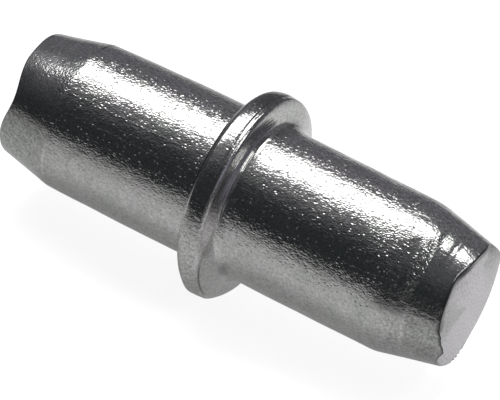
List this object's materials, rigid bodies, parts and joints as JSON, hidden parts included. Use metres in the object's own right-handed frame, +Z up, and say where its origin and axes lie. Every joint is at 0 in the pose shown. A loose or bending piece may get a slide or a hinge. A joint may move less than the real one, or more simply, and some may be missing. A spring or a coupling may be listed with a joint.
{
  "type": "shelf support pin",
  "caption": "Round steel shelf support pin with a collar in the middle, a tapered nose and a cropped end on each side.",
  "frame": {"origin": "centre of the collar, on the pin's axis", "axes": "X along the pin's axis, level as in use, +X towards the end that carries the shelf and -X into the panel; +Z up"},
  "size_m": [0.016, 0.0068, 0.0068],
  "materials": {
    "zinc_plated_steel": "bright zinc plate over fine hammered dimples, with a dull bloom in places"
  },
  "bodies": {
    "root": {"support_pin": "zinc_plated_steel"}
  },
  "joints": []
}
